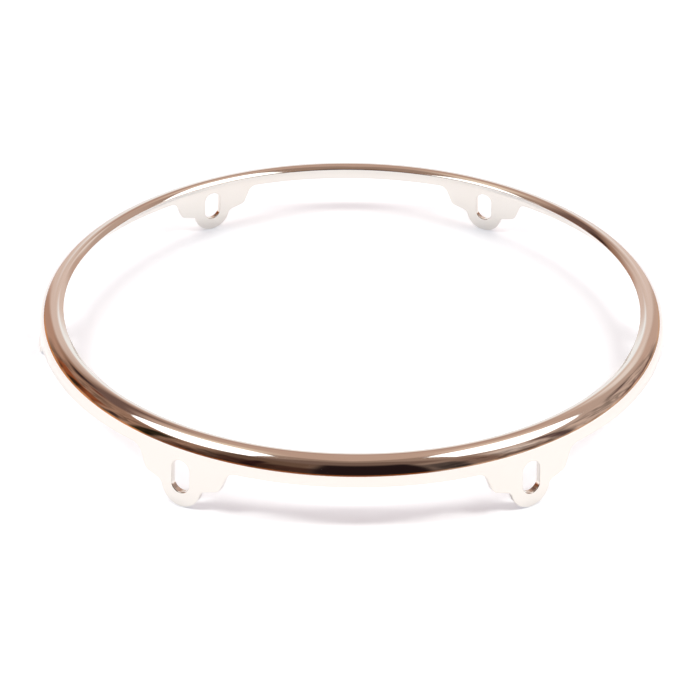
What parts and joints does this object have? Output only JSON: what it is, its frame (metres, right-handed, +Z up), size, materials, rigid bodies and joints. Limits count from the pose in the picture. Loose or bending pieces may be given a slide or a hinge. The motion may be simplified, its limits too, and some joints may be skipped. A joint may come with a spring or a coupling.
{
  "type": "drum tension hoop",
  "caption": "Polished plated metal tension hoop with a rounded collar, a short skirt and slotted ears for tension hooks, standing on its ear tips.",
  "frame": {"origin": "centre of the ring, on the plane of the six ear tips that it stands on", "axes": "+Z up along the ring's axis, from the ear tips to the collar; front is -Y, half way between two ears; +X is the right-hand ear"},
  "size_m": [0.3222, 0.318, 0.0359],
  "materials": {
    "plated_rim": "mirror-polished pale champagne-gold plating on steel",
    "plated_ear": "polished pale champagne-gold plating on steel, edges broken",
    "plated_weld": "weld ground flush, polished and plated with the rest"
  },
  "bodies": {
    "root": {"formed_rim": "plated_rim", "closing_weld": "plated_weld", "ear_right": "plated_ear", "ear_back_right": "plated_ear", "ear_back_left": "plated_ear", "ear_left": "plated_ear", "ear_front_left": "plated_ear", "ear_front_right": "plated_ear", "ear_seam_right": "plated_weld", "ear_seam_back_right": "plated_weld", "ear_seam_back_left": "plated_weld", "ear_seam_left": "plated_weld", "ear_seam_front_left": "plated_weld", "ear_seam_front_right": "plated_weld"}
  },
  "joints": []
}
